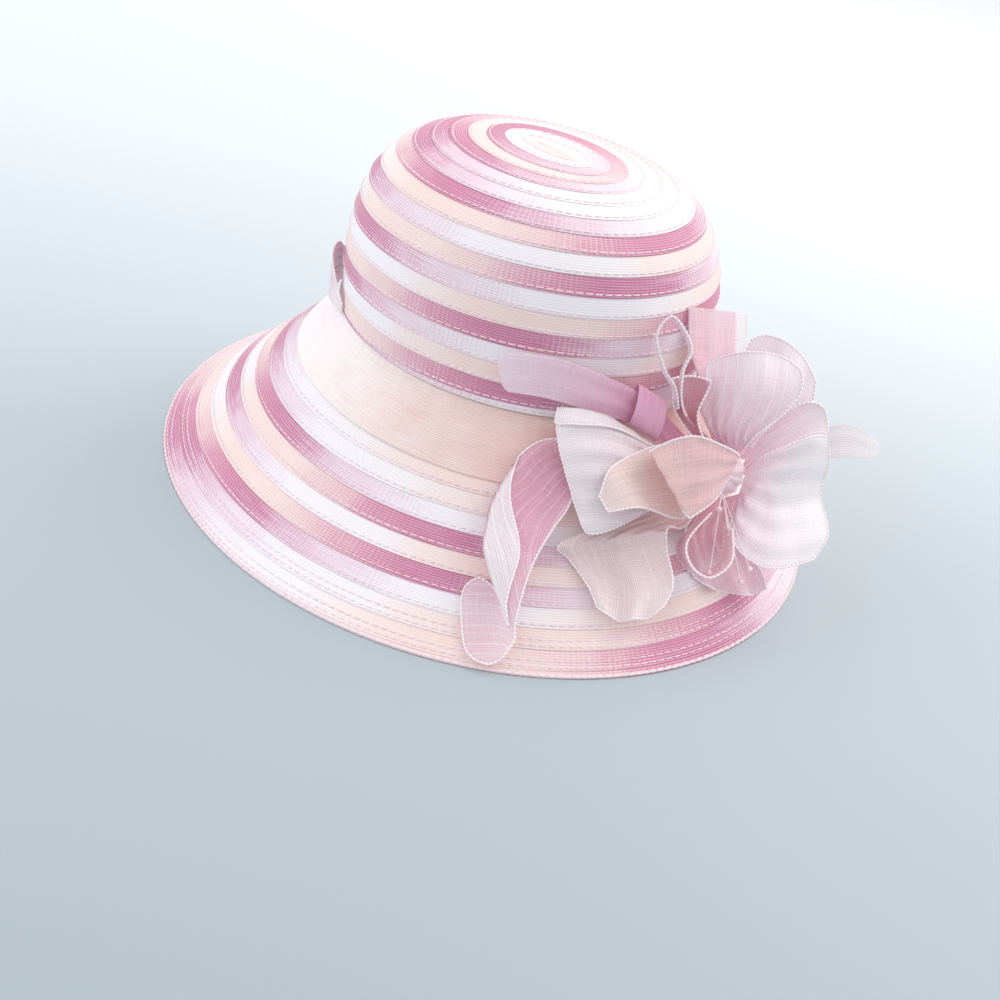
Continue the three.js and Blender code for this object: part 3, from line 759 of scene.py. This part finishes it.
# Ribbons of the flower. Each row is one section, from the core outwards: x to the right, y up,
# z towards the eye, half its width, the turn of its width in the picture, the lean of its width
# towards the eye, and how high its middle is cupped, along the normal of its way and its width.
# A seat is the turn and tilt of its place on the core, half its width there and the turn of that width.
# Round takes off the corners of the free end, a frill has waves and a depth, and so have pleats at the core.
# A fold has the share of the half width that is turned back over the front, its height along that
# normal, and where along the ribbon it starts and ends. A cloth is named where it isn't the slot's own.
PETALS = {
    "petal_left": dict(
        slot="white_organza", seat=(178, 38, 4, 95), round=0.1, fold=(0.3, -1.6, 0.15, 1.3), frill=(1, 1.5),
        pleats=(5, 1.2), rows=(
            (-29, -1, 25, 14, 95, 0, -2), (-47, 1, 42, 25, 98, 0, -4), (-60, 1, 48, 29, 102, 0, -4),
            (-67, 1, 46, 28, 102, 0, -3))),
    "petal_centre": dict(
        slot="peach_organza", seat=(10, 80, 3.5, 80), pleats=(3, 0.4), rows=(
            (6.5, 2.5, 32, 4.5, 65, 0, 0), (0, 0, 44, 11.5, 83, 0, 0), (-12, -2, 52, 17.5, 90, 0, 0),
            (-23, -4, 47, 15, 119, 0, 0), (-19, -4, 29, 17, 101, 0, 0), (-28, -5, 35, 16, 110, 0, 0),
            (-41, -7, 52, 10.5, 126, 0, 0), (-50, -14, 55, 4, 120, 0, 0))),
    "petal_lower_left": dict(
        slot="peach_organza", cloth="faint_peach_organza", seat=(225, 25, 3.5, -40), round=0.06,
        frill=(2, 3), pleats=(4, 1.4), rows=(
            (-21, -20, 19, 8, -30, -20, -1), (-38, -25, 32, 18, 0, -20, -1),
            (-47, -29.5, 40.5, 25, 8, -18, -1), (-45, -37, 38.5, 22.5, 5, -16, -2),
            (-39, -51, 43.5, 18.8, 0, -10, -4), (-39.5, -65, 48, 12, 0, -10, -2))),
    "petal_lower": dict(
        slot="pink_organza", cloth="rose_organza", seat=(262, 45, 3, 0), pleats=(2, 0.3), rows=(
            (-9, -22, 24, 7, 0, 75, 0), (-17, -33, 27, 9, 0, 75, 0), (-14, -43, 28, 10, 0, 75, 0),
            (-6, -47, 27, 10, 0, 75, 0), (3, -40, 25, 9, 0, 75, 0), (4, -26, 22, 7, 0, 75, 0))),
    "petal_under": dict(
        slot="pink_organza", cloth="rose_organza", seat=(280, 2, 11, 18), round=0.12, frill=(2, 3),
        pleats=(5, 1.6), rows=(
            (-4, -28, 8, 13, -10, -25, -2), (2, -43, 5, 19, -10, -25, -3), (7, -57, 3, 18, -10, -25, -2))),
    "petal_right": dict(
        slot="white_organza", seat=(330, 20, 8, 72), round=0.1, frill=(1.5, 2.5), pleats=(5, 1.4), rows=(
            (16, -9, 12, 23, 60, 0, -3), (31, -14, 13, 31.5, 72, 0, -7), (52, -11, 0, 27, 90, 0, -7))),
    "petal_upper_right": dict(
        slot="pale_pink_organza", seat=(62, 22, 4, -15), round=0.14, frill=(1.5, 2), pleats=(5, 1.0), rows=(
            (5, 20, 13, 12, -15, 0, -2), (12, 37, 14, 24, -3, 0, -5), (14, 54, 12, 21, 0, 0, -4))),
    "petal_back": dict(
        slot="pale_pink_organza", seat=(48, -22, 4, -45), round=0.12, frill=(1.5, 2), pleats=(4, 0.8), rows=(
            (14, 22, -12, 8, -45, 0, 0), (26, 41, -17, 19, -35, 0, -3), (32, 61, -20, 17, -35, 0, -2))),
    "petal_small": dict(
        slot="pink_organza", cloth="pale_pink_organza", seat=(22, -4, 3, 100), round=0.1, pleats=(2, 0.4),
        rows=((23, 14, -2, 6, 105, 0, 0), (39, 23, -4, 9, 105, 0, -2), (50, 25, -6, 7, 100, 0, -2))),
    "loop_upright": dict(
        slot="pale_pink_organza", seat=(112, 26, 3, 40), rows=(
            (-16, 26, 23, 4, 0, 80, 0), (-17, 43, 36, 4, 0, 80, 0), (-13, 55, 40, 4, 0, 80, 0),
            (-21, 68, 44, 4, 0, 80, 0), (-28, 60, 42, 4, 0, 80, 0), (-25, 46, 37, 4, 0, 80, 0),
            (-20.5, 38, 33, 4, 0, 80, 0), (-19, 29, 26.5, 3.5, 0, 80, 0))),
    "loop_small": dict(
        # Its cloth's colour deepens to dark rose inside the loop as painted shade
        slot="pink_organza", cloth="rose_organza_and_shade", seat=(82, 50, 3, 0), rows=(
            (-9, 15, 18, 2.2, 0, 0, 1), (-15, 26.7, 24, 5, -8, 0, 3), (-13.3, 38, 26.5, 8, -5, 0, 5),
            (-12.8, 41.5, 28.5, 8.6, -5, 0, 4))),
    "ribbon_back": dict(
        slot="pale_pink_organza", cloth="warm_pink_organza", seat=(85, -15, 4, -10), hemmed=False,
        pleats=(3, 0.6), rows=(
            (1, 34, 3, 12, 0, -45, 0), (-1, 56, 8, 19, 0, -48, 0), (-1, 75, 11, 20, 0, -48, 0))),
    "tail_flat": dict(
        slot="pink_organza", seat=(150, 18, 3, 60), hemmed=False, round=0.03, pleats=(2, 0.4), rows=(
            (-35, 27, 27, 7.5, 70, 25, 0), (-52, 34, 44, 9.5, 75, 28, 0), (-73, 41, 54, 10, 80, 28, 0),
            (-96, 44, 58, 9, 92, 28, 0))),
    "ribbon_knot": dict(
        slot="pink_organza", cloth="bright_pink_organza", hemmed=False, rows=(
            (-34.5, 29.5, 23.5, 9, 148, 38, 0), (-32, 34.5, 27.5, 9, 148, 38, 0),
            (-30, 35.5, 31, 9, 148, 38, 0), (-30, 31.5, 32.5, 9, 148, 38, 0),
            (-31.5, 25, 30.5, 9, 148, 38, 0), (-34, 19.5, 26.5, 9, 148, 38, 0),
            (-36, 18.5, 23, 9, 148, 38, 0), (-36.5, 22.5, 21.5, 9, 148, 38, 0),
            (-35.5, 27, 22.5, 9, 148, 38, 0))),
    "tail_twisted": dict(
        slot="pale_pink_organza", cloth="twisted_tail_organza", seat=(196, 5, 3, 110),
        fold=(1.4, -1.6, 0.33, 0.73), round=0.06, pleats=(2, 0.4), rows=(
            (-29, -2, 15, 5, 110, 0, 0), (-50, 3, 29, 9, 115, 0, 0), (-71, 3, 41, 14, 129, 0, 0),
            (-83.5, -13.5, 51, 16, 158, 10, 0), (-89.5, -29.8, 60, 13.6, 172, 15, 0),
            (-91.5, -40.5, 65, 10.5, 163, 12, 0), (-90.5, -55.5, 68, 5.6, 153, 0, 0),
            (-88.5, -68, 69, 2, 130, -10, 0), (-91.5, -66.5, 67.3, 10, 106, -20, 0),
            (-97.5, -65, 66, 18, 102, -20, 0), (-111, -65, 67, 22, 97, -20, 0))),
    "tail_white": dict(
        slot="white_organza", seat=(8, -28, 3, 90), hemmed=False, round=0.1, pleats=(2, 0.4), rows=(
            (36, 10, -16, 5, 95, 0, 0), (58, 15, -18, 8, 95, 0, 0), (75, 11, -20, 5, 95, 0, 0))),
}

# The same table for the fold of the hatband, with x along the crown, y up and z out from it
BAND_FOLD = dict(
    slot="pink_organza", cloth="pale_pink_organza", rows=(
        (-21, -3, -0.5, 9, 90, 0, 0), (-11, 0, 3.5, FOLD_HALF_HEIGHT, 90, 0, 0),
        (0, -1, 6, FOLD_HALF_HEIGHT - 1, 90, 0, 0), (11, -5, 3.8, 7, 90, 0, 0),
        (21, -9.5, -0.3, 2.5, 90, 0, 0)))

# Stamens: the bead's place in the flower, x to the right, y up and z towards the eye
STAMENS = (
    (-0.4, -16.7, 28), (4.4, -28.5, 24), (5.3, -37.7, 22), (-4.4, -45.6, 30), (13.6, -44.3, 20),
    (9.6, -50.4, 18),
)


def direction(turn, tilt):
    """Unit vectors at turns in the picture and tilts towards the eye, in degrees."""
    t, e = np.radians(turn), np.radians(tilt)
    return np.stack(np.broadcast_arrays(np.cos(t) * np.cos(e), np.sin(t) * np.cos(e), np.sin(e)), -1)


def catmull(rows, u):
    """Smooth curve through all the rows, for u from 0 at the first to 1 at the last."""
    count = len(rows) - 1
    padded = np.vstack([2 * rows[0] - rows[1], rows, 2 * rows[-1] - rows[-2]])
    place = np.clip(u, 0, 1) * count
    i = np.minimum(place.astype(int), count - 1)
    w = (place - i)[..., None]
    a, b, c, d = (padded[i + k] for k in range(4))
    square = (2 * a - 5 * b + 4 * c - d) * w ** 2
    cube = (3 * b - 3 * c + d - a) * w ** 3
    return 0.5 * (2 * b + (c - a) * w + square + cube)


def ribbon_rows(piece):
    """All the sections of a ribbon, from its seat on the core to its free end."""
    rows = np.array(piece["rows"], dtype=float)
    if "seat" not in piece:
        return rows
    turn, tilt, half, across = piece["seat"]
    place = direction(turn, tilt) * (CORE_RADIUS + SEAT_GAP)
    return np.vstack([[*place, half, across, 0, 0], rows])


def turned_over(piece, along, v):
    """Share of a half width that is turned over along a ribbon, a half wave of a sine, and how far
    each place across is past the turn."""
    share, _, first, last = piece.get("fold", (0, 0, 0, 1))
    share = share * np.sin(math.pi * np.clip((along - first) / (last - first), 0, 1))
    return share, v * (1 + share / 2) + share / 2 - 1


def ribbon_surface(piece, along, v):
    """Middle surface of a ribbon: along it from 0 to 1 on a smooth curve, and across it from -1 to 1
    on a parabola as deep as the cup, with waves at the free end and pleats near the core. Where an
    edge is turned over, the width runs on past the side, turns and comes back above the front."""
    rows = ribbon_rows(piece)
    waves, depth = piece.get("frill", (0, 0))
    pleats, pleat_depth = piece.get("pleats", (0, 0))
    lift = piece.get("fold", (0, 0))[1]
    share, past = turned_over(piece, along, v)
    v = np.where(share > 0, 1 - np.hypot(past, TURN_ROUNDING * np.minimum(share, 1)), v)
    u = along * (1 - piece.get("round", 0) * v ** 4)
    columns = catmull(rows, u)
    half, turn, lean, cup = columns[..., 3:].transpose(2, 0, 1)
    across = direction(turn, lean)
    step = 1e-3
    tangent = catmull(rows[:, :3], u + step) - catmull(rows[:, :3], u - step)
    bulge = unit(np.cross(tangent, across))
    frill = depth * u ** 2 * np.sin(math.pi * waves * (v + 1))
    gathered = np.minimum(PLEAT_START * u, 1) * (1 - PLEAT_FADE * u)
    gather = pleat_depth * gathered * np.sin(math.pi * pleats * v)
    folded = lift * (0.5 + 0.5 * np.tanh(past / TURN_SOFTNESS)) * np.minimum(TURN_START * share, 1)
    height = cup * (1 - v ** 2) + frill + gather + folded
    return columns[..., :3] + across * (half * v)[..., None] + bulge * height[..., None], half


def flower_axes():
    """Columns x, y and z of the flower's own frame."""
    turn = Matrix.Rotation(FLOWER_AZIMUTH, 3, "Z") @ Matrix.Rotation(math.pi / 2 - FLOWER_LIFT, 3, "X")
    return np.array(turn @ Matrix.Rotation(FLOWER_ROLL, 3, "Z"))


def fold_axes():
    """Middle of the hatband's fold, and the columns x, y and z of its frame."""
    x = CROWN_HALF_WIDTH * math.cos(FOLD_ANGLE)
    y = CROWN_HALF_LENGTH * math.sin(FOLD_ANGLE)
    facing = math.atan2(y / CROWN_HALF_LENGTH ** 2, x / CROWN_HALF_WIDTH ** 2)
    turn = Matrix.Rotation(facing + math.pi / 2, 3, "Z") @ Matrix.Rotation(math.pi / 2, 3, "X")
    return np.array([x, y, CROWN_FOOT + FOLD_HALF_HEIGHT + FOLD_GAP]), np.array(turn)


def ribbon_piece(node, piece, origin, axes, cloths, hem):
    """Thin two-faced ribbon in a frame of its own, with its overlocked hem."""
    name = node + "_cloth"
    along = np.linspace(0, 1, RIBBON_STEPS)[:, None]
    v = np.linspace(-1, 1, RIBBON_COLUMNS)[None]
    middle, half = ribbon_surface(piece, along + 0 * v, v + 0 * along)
    normal = unit(np.cross(np.gradient(middle, axis=0), np.gradient(middle, axis=1)))
    faces = [origin + (middle + side * PETAL_THICK / 2 * normal) @ axes.T for side in (1, -1)]
    length = run_length(middle[:, RIBBON_COLUMNS // 2])[:, None]
    share, past = turned_over(piece, along, v)
    layers = {
        "cloth": doubled(length / CLOTH_UNIT, half * v / CLOTH_UNIT),
        "fade": doubled(along, past if "fold" in piece else v),
    }
    cloth = cloths[piece.get("cloth", piece["slot"])]
    ribbon = loft(name, two_faced(*faces), layers, cloth)
    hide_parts(node)
    rims = [ribbon_hem(name + "_hem", piece, origin, axes, hem)] if piece.get("hemmed", True) else []


def ribbon_hem(name, piece, origin, axes, material):
    """Knotted cord of the hem: along one side of a ribbon, round its free end and back along the other.
    It turns from the way out of the ribbon, or with a turned edge from the flower's face."""
    side = np.linspace(HEM_START, 1, HEM_SIDE_STEPS)
    end = np.linspace(-1, 1, HEM_END_STEPS)[1:-1]
    along = np.concatenate([side, np.ones_like(end), side[::-1]])
    v = np.concatenate([-np.ones_like(side), end, np.ones_like(side)])
    path, _ = ribbon_surface(piece, along[:, None], v[:, None])
    inner, _ = ribbon_surface(piece, along[:, None] * 0.98, v[:, None] * 0.96)
    path = origin + path[:, 0] @ axes.T
    inner = origin + inner[:, 0] @ axes.T
    knots = HEM_RADIUS * (1 + HEM_KNOT * np.sin(run_length(path) * TURN / HEM_PITCH))
    facing = axes[:, 2] if "fold" in piece else unit(path - inner)
    return tube(name, path, facing, knots, material)


def ball_angles(rings, sides):
    """Lifts and turns over a ball, in radians, from close to one pole to close to the other."""
    lift = np.linspace(-0.49, 0.49, rings)[:, None] * math.pi
    return lift, np.arange(sides)[None] / sides * TURN


def flower_heart(axes, cloth):
    """Bound ribbon ends as a gathered ball: a sphere with pleats that run from pole to pole."""
    lift, turn = ball_angles(41, 96)
    pleats = np.sin(CORE_PLEATS * turn + CORE_PLEAT_SLANT * lift) * np.cos(lift)
    radius = CORE_RADIUS - CORE_SINK + CORE_PLEAT_DEPTH * pleats
    ball = direction(np.degrees(turn), np.degrees(lift)) * radius[..., None]
    layers = {
        "cloth": pairs(lift * CORE_RADIUS / CLOTH_UNIT, turn * CORE_RADIUS / CLOTH_UNIT)[None],
        "fade": pairs(lift / math.pi + 0.5, turn / TURN)[None],
    }
    heart = loft("flower_heart", (FLOWER_PLACE + ball @ axes.T)[None], layers, cloth)
    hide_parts("flower_core")


def flower_tie(material):
    """Short wound tie between the core and the brim: a cylinder with a ridge for each turn of thread."""
    way = direction(STEM_TURN, STEM_TILT)
    reach = np.linspace(CORE_RADIUS + STEM_GAP, STEM_END, STEM_STEPS)
    path = FLOWER_PLACE + reach[:, None] * way
    ridges = np.cos(TURN * np.arange(STEM_STEPS) / STEM_RIDGE_STEPS)
    radius = STEM_RADIUS * (1 - STEM_RIDGE * ridges)
    normal = np.array([1.0, 0, 0])
    tie = tube("flower_tie", path, normal, radius, material, sides=STEM_SIDES)
    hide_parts("flower_stem")


def stamens(axes, stem, bead):
    """Thin bowed stems from under the core, each with a bead on its end."""
    lift, turn = ball_angles(17, 24)
    ball = direction(np.degrees(turn), np.degrees(lift)) * BEAD_RADIUS
    cloth = pairs(lift, turn)[None]
    for number, place in enumerate(STAMENS, 1):
        end = np.array(place)
        bow = (STAMEN_ROOT + end) / 2 + STAMEN_BOW
        curve = catmull(np.array([STAMEN_ROOT, bow, end]), np.linspace(0, 1, STAMEN_STEPS))
        radius = np.full(STAMEN_STEPS, STAMEN_RADIUS)
        tube(f"stamen_{number}", FLOWER_PLACE + curve @ axes.T, axes[:, 2], radius, stem)
        centre = FLOWER_PLACE + axes @ end
        loft(f"stamen_bead_{number}", (centre + ball)[None], {"cloth": cloth}, bead)


def flower(cloths, hem):
    """The ribbons, the core, its tie and the stamens."""
    axes = flower_axes()
    for node, piece in PETALS.items():
        ribbon_piece(node, piece, FLOWER_PLACE, axes, cloths, hem)
    flower_heart(axes, cloths["pale_pink_organza"])
    flower_tie(thread("rose_thread", "#e3b3c4"))
    stamens(axes, hem, pearl("pearl_bead", "#f3bfd1"))


# Stage

def floor():
    """Plain pale floor, a little lighter far behind the hat as painted light."""
    mesh = bpy.data.meshes.new("floor")
    corners = [(x * FLOOR_HALF, y * FLOOR_HALF, 0) for x, y in ((-1, -1), (1, -1), (1, 1), (-1, 1))]
    mesh.from_pydata(corners, [], [(0, 1, 2, 3)])
    material, tree = new_tree("floor_painted_light")
    place = add(tree, "TexCoord")["Object"]
    x, y = add(tree, "SeparateXYZ", (place,))[:2]
    # Painted light: the tone goes up towards the back of the floor
    behind = add(tree, "Math", (x, y), operation="ADD")[0]
    share = (behind, FLOOR_FADE, FLOOR_FADE_START)
    tone = add(tree, "Math", share, operation="MULTIPLY_ADD", use_clamp=True)[0]
    colour = add(tree, "ValToRGB", (tone,), FLOOR_LIGHT_TONES)[0]
    shader = add(tree, "BsdfPrincipled", {"Base Color": colour, "Roughness": 0.6})[0]
    add(tree, "OutputMaterial", {"Surface": shader})
    mesh.materials.append(material)
    plane = bpy.data.objects.new("floor", mesh)
    bpy.context.collection.objects.link(plane)


def lamp(name, place, size, power, code):
    """Square soft light that looks from its place to the middle of the hat, in metres."""
    light = bpy.data.lights.new(name, "AREA")
    light.size = size
    light.energy = power
    light.color = linear(code)[:3]
    holder = bpy.data.objects.new(name, light)
    holder.location = place
    holder.rotation_euler = (Vector(LIGHT_AIM) - Vector(place)).to_track_quat("-Z", "Y").to_euler()
    bpy.context.collection.objects.link(holder)


def studio():
    """Pale world light, a large key light from above on the right, and a soft fill from the far left."""
    world = bpy.data.worlds.new("studio")
    world.use_nodes = True
    background = world.node_tree.nodes["Background"]
    background.inputs["Color"].default_value = linear(WORLD_TONE)
    background.inputs["Strength"].default_value = WORLD_STRENGTH
    bpy.context.scene.world = world
    lamp("key", **KEY_LIGHT)
    lamp("fill", **FILL_LIGHT)
    bpy.context.scene.view_settings.view_transform = "Standard"


def camera():
    """Camera at its place about the crown, turned by its heading, pitch and roll."""
    lens = bpy.data.cameras.new("camera")
    lens.lens = CAMERA_LENS
    lens.sensor_width = CAMERA_SENSOR
    lens.clip_start = CAMERA_NEAR
    holder = bpy.data.objects.new("camera", lens)
    heading, pitch = math.radians(CAMERA_HEADING), math.radians(CAMERA_PITCH)
    way = Vector((math.cos(heading) * math.cos(pitch), math.sin(heading) * math.cos(pitch), math.sin(pitch)))
    turn = way.to_track_quat("-Z", "Y").to_matrix().to_4x4()
    place = Matrix.Translation(Vector(to_frame(np.array(CAMERA_PLACE))))
    holder.matrix_world = place @ turn @ Matrix.Rotation(math.radians(CAMERA_ROLL), 4, "Z")
    bpy.context.collection.objects.link(holder)
    bpy.context.scene.camera = holder


def build():
    """All the pieces and the stage."""
    rows = row_cloth("space_dyed_ribbon", ROW_DYE, warp=1.16, depth=0.55, tick_stops=ROW_TICKS)
    sewing = thread("pale_sewing_thread", "#f7dde5")
    hem = thread("pale_hem_thread", "#fdf0f4")
    cloths = {name: organza(name, **finish) for name, finish in ORGANZAS.items()}
    crown(rows, sewing)
    brim(rows, sewing)
    # The hatband's colours hold painted shade of the flower beside it
    hatband(row_cloth("band_organza", BAND_DYE_AND_SHADE, warp=1.0, depth=0.4))
    ribbon_piece("band_fold", BAND_FOLD, *fold_axes(), cloths, hem)
    flower(cloths, hem)
    floor()
    studio()
    camera()


build()
